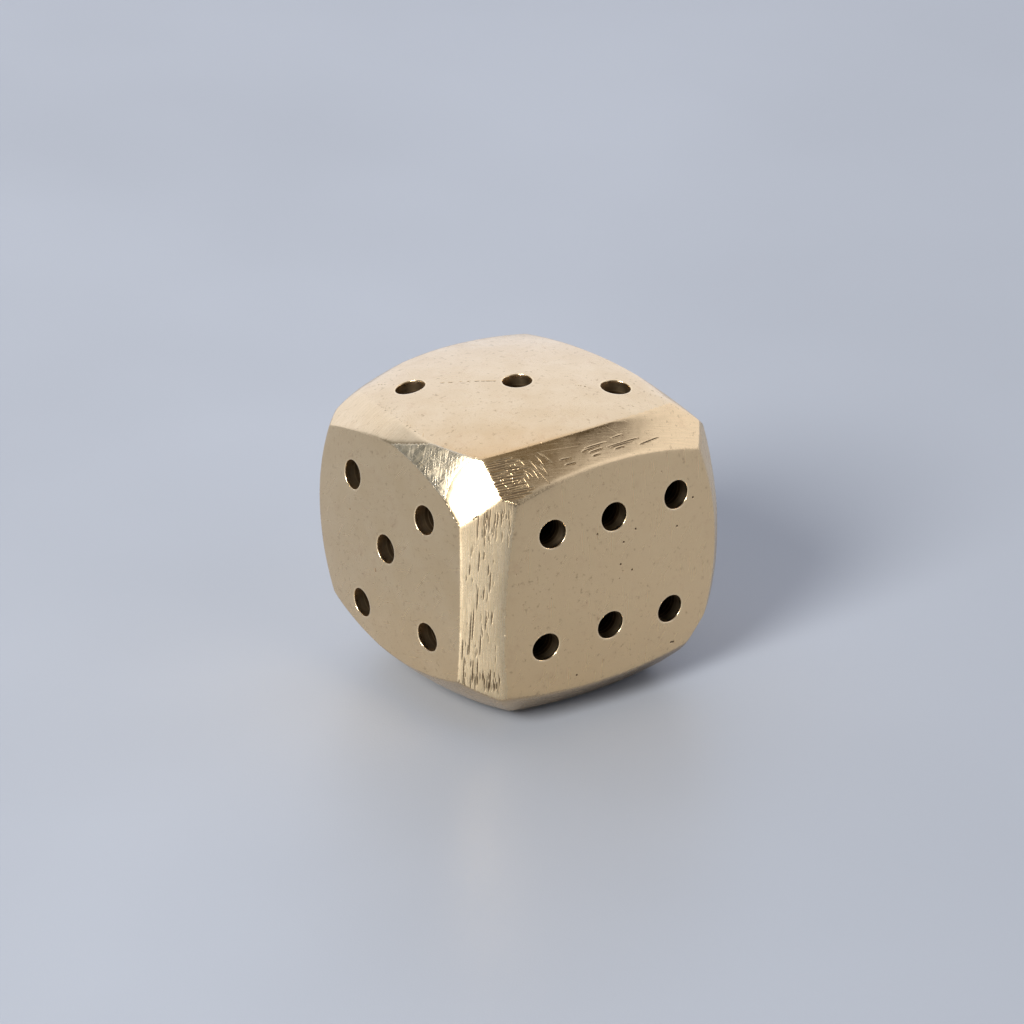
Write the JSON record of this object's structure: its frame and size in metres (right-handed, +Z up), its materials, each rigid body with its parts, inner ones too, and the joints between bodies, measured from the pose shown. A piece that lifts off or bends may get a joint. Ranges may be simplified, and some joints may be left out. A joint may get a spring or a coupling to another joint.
{
  "type": "solid brass die",
  "caption": "Hand-ground solid brass die with crowned faces, broad bevelled edges and drilled pips, used as a desk paperweight or gaming piece.",
  "frame": {"origin": "centre of the cube's footprint, in the lapped flat that the die rests on, under the face with four pips", "axes": "+Z up through the face with three pips, -Y out of the face with five, +X out of the face with six; the faces with four, two and one are opposite them"},
  "size_m": [0.0495, 0.0503, 0.0494],
  "materials": {
    "brass": "faces hand polished to a satin sheen with fine scratches and a few casting pits; bevels filed and ground, with file marks and torn slits left in; pip holes bare and darkened inside"
  },
  "bodies": {
    "root": {"die_body": "brass"}
  },
  "joints": []
}
